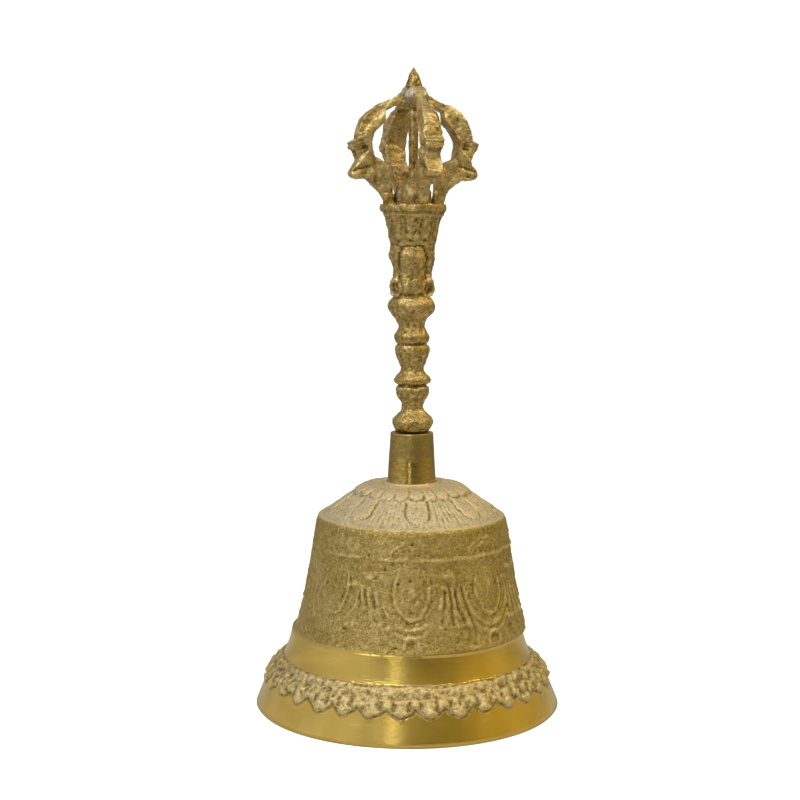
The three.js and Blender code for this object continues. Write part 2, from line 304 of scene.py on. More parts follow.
def cast_brass(name, deep, middle, crest, roughness, depth):
    """Sand-cast brass with those colours and a grain of that depth. A mark of how far the relief
    stands out gives a painted highlight in the crest colour on crests and painted shade in the deep
    colour in grooves; the marks pale, turned and pit give the dusty zones, the turned zones and the
    blow holes."""
    paint = Paint(name)
    standing_mark = paint.mark("standing")
    turned_mark = paint.mark("turned")
    pale_mark = paint.mark("pale")
    cast_share = paint.sum("SUBTRACT", 1.0, turned_mark)
    patch = paint.noise(9, 4)
    mottle = paint.noise(1.3, 4)
    fine = paint.noise(0.55, 3)
    grain = paint.noise(0.26, 2)
    smudge = paint.noise(5, 3, (1, 1, 0.35))

    shade = tuple(0.78 * part for part in middle)
    colour = paint.mix(paint.span(mottle, 0.36, 0.62), shade, middle)
    colour = paint.mix(paint.span(patch, 0.4, 0.75, 0, 0.4), colour, crest)
    pale = paint.mix(mottle, (0.64, 0.53, 0.35), (0.86, 0.74, 0.52))
    pale_share = paint.sum("MULTIPLY", pale_mark, paint.span(patch, 0.3, 0.6, 0.75, 1))
    colour = paint.mix(pale_share, colour, pale)
    # Painted highlight on the relief's crests, and painted shade in its grooves and hollows.
    colour = paint.mix(paint.span(standing_mark, 0.04, 0.4, 0, 0.85), colour, crest)
    colour = paint.mix(paint.span(standing_mark, -0.05, -0.45, 0, 0.85), colour, deep)
    colour = paint.mix(paint.span(fine, 0.52, 0.7, 0, 0.65), colour, crest)
    colour = paint.mix(paint.span(fine, 0.46, 0.3, 0, 0.6), colour, deep)
    colour = paint.mix(paint.span(grain, 0.55, 0.75, 0, 0.5), colour, crest)
    colour = paint.mix(paint.span(grain, 0.42, 0.28, 0, 0.5), colour, deep)
    polished = paint.mix(paint.span(smudge, 0.3, 0.75), (0.76, 0.53, 0.125), (0.84, 0.61, 0.18))
    colour = paint.mix(turned_mark, colour, polished)
    colour = paint.mix(paint.mark("pit"), colour, (0.035, 0.024, 0.008))

    cast_roughness = paint.span(fine, 0.3, 0.7, roughness + 0.08, roughness - 0.08)
    turned_roughness = paint.span(smudge, 0.3, 0.7, 0.12, 0.2)
    rough = paint.sum("MULTIPLY", cast_roughness, cast_share)
    rough = paint.sum("MULTIPLY_ADD", turned_roughness, turned_mark, rough)
    metallic = paint.span(pale_share, 0, 1, 0.95, 0.6)

    cast_height = paint.sum("MULTIPLY_ADD", fine, 0.6, paint.sum("MULTIPLY", grain, 0.4))
    cast_height = paint.sum("MULTIPLY", cast_height, cast_share)
    lathe_lines = paint.sum("MULTIPLY", paint.noise(1.2, 3, (0.15, 0.15, 9)), turned_mark)
    normal = paint.bump(cast_height, depth)
    normal = paint.bump(lathe_lines, 0.03, normal)
    return paint.finish(colour, rough, metallic, normal)


def turned_brass():
    """Bright turned brass: fine lines round the axis, with a dull stain where stained is 1."""
    paint = Paint("turned_brass")
    blotches = paint.span(paint.noise(0.8, 4), 0.35, 0.6, 0.45, 1)
    stain = paint.sum("MULTIPLY", paint.mark("stained"), blotches)
    smudge = paint.noise(3, 3)
    colour = paint.mix(smudge, (0.68, 0.46, 0.1), (0.8, 0.57, 0.17))
    colour = paint.mix(stain, colour, (0.36, 0.26, 0.09))
    rough = paint.sum("MULTIPLY_ADD", stain, 0.28, paint.span(smudge, 0.3, 0.7, 0.09, 0.15))
    lines = paint.noise(1.0, 3, (0.15, 0.15, 10))
    normal = paint.bump(lines, 0.018)
    normal = paint.bump(paint.sum("MULTIPLY", paint.noise(0.35, 3), stain), 0.05, normal)
    return paint.finish(colour, rough, paint.span(stain, 0, 1, 1, 0.85), normal)


def solder(name, film, grey, light):
    """Dull solder with pits and a film over part of it."""
    paint = Paint(name)
    patch = paint.noise(2.2, 4)
    fine = paint.noise(0.4, 3)
    colour = paint.mix(paint.span(patch, 0.45, 0.65), film, grey)
    colour = paint.mix(paint.span(fine, 0.55, 0.75, 0, 0.7), colour, light)
    colour = paint.mix(paint.span(fine, 0.4, 0.3), colour, (0.10, 0.09, 0.07))
    rough = paint.span(patch, 0.3, 0.7, 0.6, 0.42)
    return paint.finish(colour, rough, 0.8, paint.bump(fine, 0.12))


def drawn_iron():
    """Dark drawn wire with a thin brown film and draw lines along it."""
    paint = Paint("drawn_iron")
    film = paint.span(paint.noise(2.5, 4), 0.45, 0.7)
    colour = paint.mix(film, (0.24, 0.23, 0.22), (0.17, 0.10, 0.055))
    rough = paint.span(film, 0, 1, 0.36, 0.7)
    lines = paint.noise(0.5, 3, (3, 3, 0.15))
    normal = paint.bump(paint.noise(0.3, 2), 0.03, paint.bump(lines, 0.02))
    return paint.finish(colour, rough, paint.span(film, 0, 1, 1, 0.6), normal)


# ---------------------------------------------------------------- bell casting

def bell_outline():
    """A closed outline from the lip's inner edge, up the outside, and down the inside."""
    return outline(
        (38.9, 0),
        (2, (41.6, 0)),
        (2, (41.95, 0.45)),
        (6, (40.7, 3.8), (39.6, 6.2)),
        (9, (38.7, 8.5)),
        (7, (37.5, 10.5)),
        (8, (35.8, 12.2)),
        (9, (34.2, BAND_FOOT_Z)),
        (2, (33.95, 14.7)),
        (8, (32.6, 17.6), (31.95, BAND_TOP_Z)),
        (68, (29.1, 31.5), (26.95, 47.0)),
        (8, (26.3, 50.6)),
        (5, (26.2, 52.4), (25.2, 52.75)),
        (30, (14.6, 60.15)),
        (8, (13.3, 61.0), (11.0, 61.15)),
        (6, (8.5, CROWN_Z)),
        (2, (CROWN_HOLE_RADIUS, CROWN_Z)),
        (1, (CROWN_HOLE_RADIUS, CROWN_UNDERSIDE_Z)),
        (2, (8, CROWN_UNDERSIDE_Z)),
        (3, (17.8, 56.3), (23.2, 49.8)),
        (3, (26.3, 32), (28.9, 21)),
        (3, (31, 13), (35.4, 6.5)),
        (2, (38.9, 0)),
    )[:-1]


def leaf_border(angle, height):
    """Leaves that hang over the lip, hollows above them, and a rope rim on top: the relief, and
    where the metal is cast and not turned."""
    pitch = 360 / LEAF_COUNT
    number = nearest(angle, pitch, LEAF_PHASE)
    low, shift, size, lean = RANDOM.uniform(-1, 1, (4, LEAF_COUNT))
    across = offset(angle, pitch, LEAF_PHASE) + 0.6 * shift[number]
    across = across + 0.35 * lean[number] * (height - 9)
    beside = np.abs(across)
    strength = 1 + 0.4 * size[number]
    tip = LEAF_TIP_Z + 0.4 * low[number]
    edge = tip + 2.2 * (beside / (pitch / 2)) ** 1.4
    leaf = rise(height, edge - 0.1, edge + 0.35)
    cast = rise(height, edge - 0.7, edge - 0.3)

    knob = 0.5 * strength * hill(np.hypot(across / 2.0, (height - tip - 1.2) / 0.95), 0, 1)
    stem = 0.3 * strength * hill(across, 0, 1.3) * hill(height, 10.2, 1.0)
    side = 0.36 * strength * hill(beside, 4.7, 1.1) * hill(height, 9.8, 0.9)
    veins = 0.18 * (lobes(across * 9 + beside * height, 8) - 0.5) * window(height, 8.4, 11.6, 0.8)
    groove = 0.3 * strength * hill(beside, 2.9, 0.6) * window(height, 8.0, 11.2, 0.9)
    hollow_z = 11.9 - 0.035 * across ** 2
    hollow_depth = 0.42 * (0.8 + 0.5 * size[number])
    hollow = hollow_depth * hill(across, 0.6, 3.3) * hill(height, hollow_z, 0.55)
    relief = leaf * (0.5 + knob + stem + side + veins - groove) - hollow
    rope = 0.4 * window(height, 12.1, BORDER_TOP_Z, 0.5)
    return relief * (1 - rise(height, 12.0, 12.6)) + rope, cast


def medallion(wide, height, across):
    """One medallion: ovals and seeds round a plain boss in a ring, and the small cup under it."""
    up = height - MEDALLION_Z
    cup_up = height - MEDALLION_CUP_Z
    frame_line = 0.34 * oval_line(wide, up, 4.6, 7.1, 0.4)
    frame_edge = 0.26 * oval_line(wide, up, 5.3, 7.8, 0.3)
    fading = 1 - 0.7 * rise(height, 39.5, 41.5)
    outer = 0.32 * (1 - rise(height, 36, 40)) * oval_line(wide, up - 0.3, 8.3, 10, 0.42)
    skirt = 0.24 * (1 - rise(height, 28, 31)) * oval_line(wide, up - 0.3, 9.8, 12, 0.36)
    corner = 0.4 * hill(np.abs(wide), 7.9, 0.7) * hill(height, 28.1, 1.1)
    boss = 0.3 * hill(np.hypot(wide / 1.5, (up - 0.2) / 2.2), 0, 0.8)
    ring = 0.16 * oval_line(wide, up - 0.2, 2.7, 4.2, 0.45) * lobes(height * 60 + across * 40, 4)
    inside = 1 - rise(np.hypot(wide / 4.4, up / 6.9), 0.85, 1)
    seeds = 0.16 * inside * hill(height, 31.5, 2) * lobes(across, 150) * lobes(height * 200, 1)
    cup_edge = 0.3 * hill(np.hypot(wide / 2.1, cup_up / 3.3), 1, 0.18)
    cup = 0.16 * (1 - rise(np.hypot(wide / 2, cup_up / 3.2), 0.6, 1))
    return ((frame_line - frame_edge) * fading + outer + skirt + corner + boss + ring + seeds
            + (cup_edge - cup) * window(height, 22, 27, 0.4))


def tassels(side, height, mm_per_degree):
    """Four hanging strands between two medallions, with scrolls over them, and a lintel with sunk
    boxes under them."""
    down = (37 - height) / 10
    strands = 0
    for top, foot in ((-5.5, -6.8), (-2.5, -0.8), (0.5, 5.6), (5.0, 10.2)):
        middle = top + (foot - top) * np.clip(down, -0.4, 1.2)
        distance = (side - middle) * mm_per_degree
        strands = strands - 0.36 * hill(distance, 0, 0.3) + 0.16 * hill(np.abs(distance), 0.85, 0.4)
    strands = strands * window(height, 27, 38.6, 1.6)
    scrolls = sum(
        0.34 * hill(np.hypot((side - middle) * mm_per_degree / 1.6, (height - up) / 0.9), 0, 1)
        for middle, up in ((-3.6, 41), (0.4, 40.4), (7.6, 40.7)))
    curl = oval_line((side + 9) * mm_per_degree, height - 36.6, 2.4, 2.0, 0.35)
    curl = 0.28 * curl * rise(height, 36.6, 37.6)
    boxes = sum(
        0.2 * window(side, left, right, 1.3) * window(height, 22.3, top, 1.2)
        for left, right, top in ((-10.8, -5.2, 27), (-1.8, 2.0, 26), (5.2, 12.6, 27.6)))
    lintel = 0.2 * hill(height, 28, 0.5) * window(side, -12, 13.5, 1)
    return strands + scrolls + curl - boxes + lintel


def waist(angle, height, mm_per_degree):
    """Worn reliefs of the waist: a line, arches above it, and medallions and tassels below it."""
    across = offset(angle, MEDALLION_PITCH)
    side = offset(angle, MEDALLION_PITCH, MEDALLION_PITCH / 2)
    wide = across * mm_per_degree
    line = 0.5 * hill(height, WAIST_LINE_Z, 0.3)
    up = height - WAIST_LINE_Z - 0.9
    arch = oval_line(wide, up, 5.9, 3.5, 0.32) + oval_line(wide, up, 4.3, 2.2, 0.28)
    arches = 0.24 * arch * rise(up, -0.4, 0.4)
    return line + arches + medallion(wide, height, across) + tassels(side, height, mm_per_degree)


def shoulder(angle, radius):
    """Lotus petals on the shoulder: a ring of small ones round the crown, and eight large ones
    with striped gaps between them."""
    small_pitch = 15
    small_across = offset(angle, small_pitch, PETAL_PHASE) / (small_pitch / 2)
    small_edge = 15.9 - 1.5 * np.abs(small_across) ** 3
    small = (0.34 * (1 - rise(radius, small_edge - 0.25, small_edge + 0.15))
             - 0.2 * hill(radius, small_edge + 0.45, 0.35)
             - 0.3 * hill(np.abs(small_across), 1, 0.12) * window(radius, 8.5, 15.2, 0.6)
             + 0.1 * (1 - small_across ** 2)) * rise(radius, 7.5, 9)

    petal_start, petal_length = 16, 7.2
    along = np.clip(radius - petal_start, 0, petal_length) / petal_length
    half_angle = 9.2 * np.sqrt(1 - along ** 5)
    large = offset(angle, MEDALLION_PITCH, PETAL_PHASE)
    edge_distance = (np.abs(large) - half_angle) * radius * math.radians(1)
    outer = window(radius, 16.2, 23.6, 0.5)
    groove = 0.62 * hill(edge_distance, 0, 0.28) * outer * (1 - 0.45 * rise(radius, 21, 23.5))
    body = 0.2 * (1 - rise(edge_distance, -0.8, -0.2)) * outer

    gap = offset(angle, MEDALLION_PITCH, PETAL_PHASE + MEDALLION_PITCH / 2)
    fan = gap / (1 + 0.02 * (radius - 17))
    stripe_pitch = 3.3
    stripes = 0.3 * (lobes(fan, 360 / stripe_pitch) - 0.6) * (1 - rise(np.abs(gap), 11.6, 12.6))
    stripes = stripes * outer * rise(edge_distance, 0.2, 0.7)
    fringe = 0.16 * (lobes(angle, 132) - 0.6) * window(radius, 23.1, 25, 0.4)
    return small * (radius < 17) + body - groove + stripes + fringe


def bell_casting():
    """The bell in one casting, with its lip and band turned bright."""
    grid = Turned(bell_outline(), COLUMNS, ring=True)
    angle, radius, height = grid.angle, grid.radius, grid.height
    flat = grid.places()
    mm_per_degree = radius * math.radians(1)
    outside = np.zeros(radius.shape)
    crown_row = int(np.argmax(height[:, 0] >= CROWN_Z - 0.01))
    outside[:crown_row + 3] = 1

    # The pattern's edges wander a little, as they do in a sand mould.
    wander = 0.4 * lumps(flat, 3) + 0.22 * lumps(flat, 1)
    drift = 0.35 * lumps(flat + 50, 3) + 0.2 * lumps(flat + 50, 1)
    loose_angle = angle + wander / mm_per_degree
    loose_height = height + drift
    loose_radius = radius - drift

    on_border = outside * window(height, 5.6, BORDER_TOP_Z + 0.15, 0.01)
    over_edge = rise(height, SHOULDER_EDGE_Z - 0.2, SHOULDER_EDGE_Z)
    on_waist = outside * rise(height, BAND_TOP_Z, BAND_TOP_Z + 0.35) * (1 - over_edge)
    on_shoulder = outside * over_edge
    filled = 0.58 + 0.36 * np.cos(np.radians(angle - 75))     # the mould filled best on one side
    worn = np.clip(filled + 0.55 * lumps(flat, 6) + 0.35 * lumps(flat, 2), 0.05, 1.1)
    border, leaf = leaf_border(loose_angle, loose_height)
    waist_relief = waist(loose_angle, loose_height, mm_per_degree) * rise(height, 21.8, 23)
    shoulder_relief = (0.35 + 0.6 * worn) * shoulder(loose_angle, loose_radius)
    ridge = 0.2 * outside * hill(height, SHOULDER_EDGE_Z + 0.02, 0.28)
    relief = (on_border * border + on_waist * worn * waist_relief
              + on_shoulder * shoulder_relief + ridge)

    on_leaf = np.clip(on_border * leaf, 0, 1)
    cast = np.clip(on_leaf + on_waist + on_shoulder + (1 - outside), 0, 1)
    coarse = 0.06 * lumps(flat, 2.6) + 0.07 * lumps(flat, 1.1) + 0.1 * lumps(flat, 0.62)
    crumbs = 0.16 * lumps(flat + 20, 0.85) + 0.12 * lumps(flat + 20, 0.5)
    relief = relief + cast * (coarse + on_border * crumbs) * (1 + 0.6 * on_border)

    holes = RANDOM.uniform((-180, 22.5), (180, 51.5), (HOLE_COUNT, 2))
    pit = np.zeros(radius.shape)
    for (at_angle, at_height), size in zip(holes, RANDOM.uniform(0.14, 0.34, HOLE_COUNT)):
        distance = np.hypot(offset(angle - at_angle, 360) * mm_per_degree, height - at_height)
        pit = np.maximum(pit, outside * hill(distance, 0, size))
    relief = relief - 0.35 * pit

    places = grid.places(relief)
    places[..., 0] -= LIP_OFF_CENTRE * outside * (height < BAND_TOP_Z + 0.05)
    turned = outside * (1 - cast) * (height < BAND_TOP_Z + 0.2)
    pale = on_shoulder + 0.4 * on_leaf
    # How far the relief stands out becomes the mark for a painted highlight on crests and painted shade
    # in hollows.
    return skin("bell_casting", places, True, standing=standing(relief, 4) * cast / 0.5,
                turned=turned, pale=pale, pit=pit)


# ---------------------------------------------------------------- ferrule and braze

def ferrule_tube():
    """A tapered tube, stained dull over its upper half."""
    points = outline(
        (4.5, 61.5), (2, (6.55, 61.5)), (2, (6.7, 61.7)), (40, (5.9, 74.8)),
        (2, (5.95, 75.1)), (2, (5.8, 75.45)), (3, (4.6, 75.5)), (3, (4.5, 61.5)))[:-1]
    grid = Turned(points, 160, ring=True)
    flat = grid.places()
    relief = 0.03 * lumps(flat, 4) + 0.015 * lumps(flat, 1)
    stain_edge = 68.4 + 1.3 * lumps(flat, 3) + 0.5 * lumps(flat, 1)
    stained = rise(grid.height, stain_edge - 0.3, stain_edge + 0.3)
    return skin("ferrule_tube", grid.places(relief), True, stained=stained)


def braze_ring():
    """A thin dusty ring of braze round the ferrule's foot."""
    points = outline(
        (6.9, 61.3), (5, (8.0, 61.3)), (8, (7.4, 61.5), (7.1, 61.9)), (3, (6.9, 61.95)),
        (3, (6.9, 61.3)))[:-1]
    grid = Turned(points, 160, ring=True)
    flat = grid.places()
    relief = (0.16 * lumps(flat, 1.4) + 0.08 * lumps(flat, 0.6)) * (grid.radius > 6.95)
    return skin("braze_ring", grid.places(relief), True, pale=1.0)


# ---------------------------------------------------------------- handle casting

ROUND, SHARP = 0, 1
HANDLE_CRESTS = (                 # height and radius of each crest, waist and groove
    (75.8, 4.3, SHARP), (78.5, 5.52, ROUND), (82.5, 2.95, ROUND), (87.1, 4.55, ROUND),
    (88.5, 4.2, SHARP), (89.9, 5.02, ROUND), (92.6, 3.2, ROUND), (97.9, 4.65, ROUND),
    (99.8, 4.1, SHARP), (101.6, 4.88, ROUND), (104.8, 3.6, ROUND), (110.1, 6.5, ROUND),
    (112.6, 5.3, SHARP), (115.3, 5.75, ROUND), (119.2, 5.15, ROUND), (123.8, 5.9, ROUND),
    (CUP_FOOT_Z, 6.2, SHARP))
FLUTES = (                        # depth, number, phase, foot, top and soft ends of each row
    (0.26, 11, 0, 82.6, 87.0, 1.2), (0.3, 9, 8, 93.0, 99.2, 1.5), (0.26, 12, 0, 103.4, 106.2, 0.8),
    (0.14, 10, 12, 106.4, 109.6, 1.2), (0.1, 14, 0, 76.2, 78.2, 0.8))
# The depth, height and reach of each seam, and the same of the lines round the cup's rim.
SEAMS = ((0.45, 88.5, 0.35), (0.25, 99.8, 0.25), (0.25, 112.5, 0.3))
CUP_RINGS = ((0.2, 134.5, 0.2), (-0.2, 135.2, 0.25), (0.12, 136.1, 0.2))


def handle_outline():
    """The turned outline under the handle's relief: level at round points, creased at sharp ones."""
    points = [(3.4, 68.3), (3.4, 75.7)]
    for (z0, r0, kind0), (z1, r1, kind1) in zip(HANDLE_CRESTS, HANDLE_CRESTS[1:]):
        for t in np.arange(0, 1, HANDLE_STEP / (z1 - z0)):
            if kind0 == kind1 == ROUND:
                part = (1 - math.cos(math.pi * t)) / 2
            elif kind0 == SHARP:
                part = math.sin(math.pi * t / 2)
            else:
                part = 1 - math.cos(math.pi * t / 2)
            points.append((r0 + (r1 - r0) * part, z0 + (z1 - z0) * t))
    for height in np.arange(CUP_FOOT_Z, CUP_RIM_Z, HANDLE_STEP):
        part = (height - CUP_FOOT_Z) / (CUP_RIM_Z - CUP_FOOT_Z)
        points.append((6.2 + 1.1 * part + 1.5 * part ** 6, height))
    rim = outline(
        (8.85, CUP_RIM_Z), (5, (9.15, 136.6), (8.8, 137.4)), (4, (8.2, CUP_TOP_Z)),
        (16, (0.4, CUP_TOP_Z)))
    return np.vstack([points, rim])


def handle_casting():
    """The handle in one casting: fluted beads, a body with a worn panel front and back and curls
    at its sides, and the lotus cup."""
    grid = Turned(handle_outline(), 200)
    angle, height = grid.angle, grid.height
    flat = grid.places()
    angle = angle + 3 * lumps(flat, 2.5) + 2 * lumps(flat, 0.9)
    height = height + 0.3 * lumps(flat + 50, 2.5)
    face = offset(angle, 180)                      # from the front or the back, whichever is nearer
    across = grid.radius * np.sin(np.radians(face))
    on_side = np.abs(np.sin(np.radians(angle)))

    flutes = sum(
        depth * (lobes(angle, count, phase) - 0.65) * window(height, foot, top, soft)
        for depth, count, phase, foot, top, soft in FLUTES)
    seams = -sum(depth * hill(height, seam_z, reach) for depth, seam_z, reach in SEAMS)
    notch = -0.5 * hill(angle, 4, 5) * hill(height, 108.7, 0.7)

    barrel = (np.abs(across / 3.5) ** 4 + np.abs((height - 119.5) / 6.4) ** 4) ** 0.25
    facing = np.abs(face) < 75
    panel = facing * (0.6 * (1 - rise(barrel, 0.6, 1.0)) - 0.55 * hill(barrel, 1.13, 0.12))
    ear = np.hypot(offset(np.abs(face), 180, 62) * 0.095, height - 114.9)
    ears = 0.35 * hill(ear, 2.5, 0.5) - 0.8 * (1 - rise(ear, 1.0, 2.3))
    locks = 0.15 * on_side ** 6 * (lobes(height * 30, 8) - 0.5) * window(height, 117.5, 126, 1)
    lump = 0.75 * (angle < 0) * on_side ** 4 * hill(height, 123.8, 1.7)
    body = window(height, 112.6, 126.6, 0.4) * (panel + ears + locks + lump)

    tongue = offset(angle, 36, -5) * grid.radius * math.radians(1)
    cup = window(height, 127.2, 134.2, 0.5)
    tongues = cup * (0.24 * hill(tongue, 0, 1.05) * rise(height, 128, 129.5)
                     - 0.14 * hill(np.abs(tongue), 1.55, 0.4) * rise(height, 128.6, 129.6))
    tips = -0.45 * hill(tongue, 0.3, 0.8) * hill(height, 127.7, 0.5)
    under_cup = -0.2 * hill(height, 126.6, 0.5)
    rings = sum(depth * hill(height, ring_z, reach) for depth, ring_z, reach in CUP_RINGS)
    relief = flutes + seams + notch + body + tongues + tips + under_cup + rings * (grid.radius > 7)

    shown = rise(height, 75.7, 76.2) * rise(grid.radius, 0.4, 2)
    rough = 0.22 * lumps(flat, 2.6) + 0.15 * lumps(flat, 1.1) + 0.09 * lumps(flat, 0.55)
    relief = (relief + rough) * shown
    places = grid.places(relief)
    places[..., 0] += 0.2 * hill(height, 80, 6) - 0.3 * hill(height, 110, 8)   # not quite straight
    # How far the relief stands out becomes the mark for a painted highlight on crests and painted shade
    # in hollows.
    return skin("handle_casting", places, standing=standing(relief, 5) / 0.45, **UNMARKED)


# ---------------------------------------------------------------- prong cage

def prong_half_width(height):
    """Half the thickness of a prong across its plane."""
    foot = 1.25 + 0.3 * rise(height, 138, 141.5)
    collar = foot + 1.2 * rise(height, 141.8, 143.2)
    neck = collar - 0.4 * rise(height, 147.2, 147.9)
    limb = neck + 0.7 * rise(height, 151.4, 152.4)
    return limb - 1.9 * rise(height, 159, 166)


def prong_outline():
    """X outwards, and Z up. The snout has a thorn over a lump, and a tooth points inwards."""
    outer = outline(
        (8.2, FOOT_Z), (5, (9.1, 141.8), (12.7, 144.0)), (2, (16.1, 144.3)),
        (3, (17.9, 144.5), (17.5, 146.0)), (2, (15.9, 148.4)), (1, (15.7, 149.3)),
        (3, (18.1, 153.8)), (2, (16.2, 154.5)), (8, (15.7, 160.6), (10.9, 163.4)),
        (3, (7.9, 164.8)), (4, (4.9, 166.0), (3.4, 167.6)), (2, (1.4, 168.2)))
    inner = outline(
        (1.4, 163.3), (2, (5.1, 163.5)), (2, (8.1, 162.2)), (2, (8.3, 159.2)), (2, (9.8, 158.0)),
        (7, (13.3, 154.2), (10.9, 149.9)), (2, (8.6, 148.6)), (1, (7.2, 146.5)),
        (4, (6.1, 142.4), (5.2, FOOT_Z)))
    return np.vstack([outer, inner])


def solid_of(name, vertices, faces, voxel, smoothing):
    """A closed solid worn round: rebuilt from small cubes, then smoothed. In mm."""
    rough = bpy.data.objects.new(name, mesh_of(name, vertices, faces, {}))
    bpy.context.scene.collection.objects.link(rough)
    remesh = rough.modifiers.new("remesh", "REMESH")
    remesh.voxel_size = voxel * MM
    smooth = rough.modifiers.new("smooth", "SMOOTH")
    smooth.iterations = smoothing
    graph = bpy.context.evaluated_depsgraph_get()
    made = bpy.data.meshes.new_from_object(rough.evaluated_get(graph))
    bpy.data.objects.remove(rough)
    places = np.zeros(3 * len(made.vertices))
    normals = np.zeros(3 * len(made.vertices))
    made.vertices.foreach_get("co", places)
    made.vertices.foreach_get("normal", normals)
    faces = [list(face.vertices) for face in made.polygons]
    bpy.data.meshes.remove(made)
    return places.reshape(-1, 3) / MM, normals.reshape(-1, 3), faces


def prism(section, half_width):
    """A plate with that section in the XZ plane, as thick as half_width says at each height."""
    count = len(section)
    sides = [[(x, side * half_width(z), z) for x, z in section] for side in (-1, 1)]
    faces = [list(range(count)), list(range(2 * count - 1, count - 1, -1))]
    for i in range(count):
        j = (i + 1) % count
        faces.append([j, i, count + i, count + j])
    return np.vstack(sides), faces


def prong_casting(name, number):
    """One prong: a keeled limb, a brow, sockets at the root of the snout's thorn, and a jaw line
    over its lump."""
    vertices, faces = prism(prong_outline(), prong_half_width)
    vertices[:, 1] *= PRONG_WIDTHS[number]
    places, normals, faces = solid_of(name, vertices, faces, voxel=0.24, smoothing=9)
    x, y, z = places.T
    width = prong_half_width(z)
    outer_face = rise(normals[:, 0], 0.2, 0.8)
    keel = -0.45 * outer_face * (y / width) ** 2 * rise(z, 149, 152)
    brow = 0.4 * outer_face * hill(z, 152.3, 0.6) - 0.3 * outer_face * hill(z, 151.2, 0.5)
    cheek = rise(np.abs(normals[:, 1]), 0.4, 0.9)
    ribs = 0.2 * (lobes(z * 100 + x * 40, 3) - 0.5) * window(z, 151, 157, 1.5) * rise(x, 12, 14)
    socket = -0.6 * cheek * hill(np.hypot(x - 14.2, z - 152.4), 0, 1.0)
    jaw = -0.45 * cheek * hill((z - 147.4) + 0.3 * (x - 13), 0, 0.5) * rise(x, 11.5, 13)
    local = places + 40 * number
    detail = brow + ribs * (0.4 + 0.6 * cheek) + socket + jaw
    detail = detail + 0.3 * lumps(local, 2.6) + 0.2 * lumps(local, 1.2) + 0.1 * lumps(local, 0.55)
    shaped = places + normals * (keel + detail)[:, None]
    turn = math.radians(CAGE_TURN + 90 * number + PRONG_LEANS[number])
    spin = np.array(Matrix.Rotation(-turn, 3, "Z"))
    # How far the detail stands out becomes the mark for a painted highlight on crests and painted shade
    # in hollows.
    return mesh_of(name, shaped @ spin, faces, {
        "standing": np.clip((detail + 0.12) / 0.7, -1, 1), "turned": 0 * x, "pale": 0 * x + 0.12,
        "pit": hill(lumps(local, 0.9), 0.9, 0.1)})


def solder_bed_lump():
    """Solder that beds the prongs and the rod on the cup."""
    points = outline(
        (0.4, FOOT_Z), (3, (5.2, FOOT_Z)), (6, (5.5, 139.6), (4.8, 141.2)),
        (8, (4.0, 143.0), (2.2, 144.0)), (5, (0.4, 144.3)))
    grid = Turned(points, 96)
    flat = grid.places()
    relief = 0.5 * lumps(flat, 2.2) + 0.3 * lumps(flat, 1.0) + 0.12 * lumps(flat, 0.5)
    return skin("solder_bed_lump", grid.places(relief * (grid.radius > 0.5)))


def ridged(angle, between):
    """1 along the four prongs' directions, and less between them."""
    prong = offset(angle, 90, 90 - CAGE_TURN)
    return between + (1 - between) * hill(prong, 0, 24)


def solder_cap_lump():
    """Solder that joins the prongs' tops under the spike."""
    points = outline(
        (0.4, 163.6), (4, (2.6, 163.7)), (8, (4.0, 164.6), (3.9, 166.2)),
        (8, (3.6, 167.4), (2.6, 168.4)), (4, (0.4, 168.8)))
    grid = Turned(points, 128)
    grid.radius = grid.radius * ridged(grid.angle, 0.92)
    flat = grid.places()
    relief = 0.5 * lumps(flat, 1.7) + 0.15 * lumps(flat, 0.6)
    return skin("solder_cap_lump", grid.places(relief * (grid.radius > 1.5)))


def spike_casting():
    """The spike, whose foot spreads over the four prongs."""
    points = outline(
        (0.3, 166.0), (4, (3.9, 166.2)), (22, (2.7, 168.0), (1.9, 170.3)),
        (16, (1.3, 172.2), (0.12, 173.9)))
    grid = Turned(points, 96)
    flare = 1 - rise(grid.height, 166.4, 171.5)
    grid.radius = grid.radius * (1 - flare * (1 - ridged(grid.angle, 0.75)))
    flat = grid.places()
    relief = (0.16 * lumps(flat, 1.8) + 0.09 * lumps(flat, 0.7)) * (1 - rise(grid.height, 172, 173.8))
    relief = relief * (grid.radius > 0.2)
    # How far the relief stands out becomes the mark for a painted highlight on crests and painted shade
    # in hollows.
    return skin("spike_casting", grid.places(relief), standing=relief / 0.3 - 0.25, **UNMARKED)


def rod_casting():
    """The rod that stands in the middle of the cage."""
    points = outline((0.3, 143), (2, (1.3, 143)), (60, (1.3, 165)), (2, (0.3, 165)))
    grid = Turned(points, 40)
    flat = grid.places()
    relief = 0.1 * lumps(flat, 1.6) + 0.05 * lumps(flat, 0.6)
    places = grid.places(relief * (grid.radius > 1))
    # How far the relief stands out becomes the mark for a painted highlight on crests and painted shade
    # in hollows.
    return skin("cage_rod", places, standing=relief / 0.2, **UNMARKED)


# ---------------------------------------------------------------- hanger and clapper

def torus(radius, wire, height, quarter_turn):
    """A ring of round wire that stands upright, centred on the axis at that height."""
    round_ring, round_wire = np.meshgrid(*(
        np.linspace(0, 2 * math.pi, count, endpoint=False) for count in (64, 20)))
    reach = radius + wire * np.cos(round_wire)
    x = reach * np.cos(round_ring)
    y = wire * np.sin(round_wire)
    z = height + reach * np.sin(round_ring)
    return np.stack([-y, x, z] if quarter_turn else [x, y, z], -1)


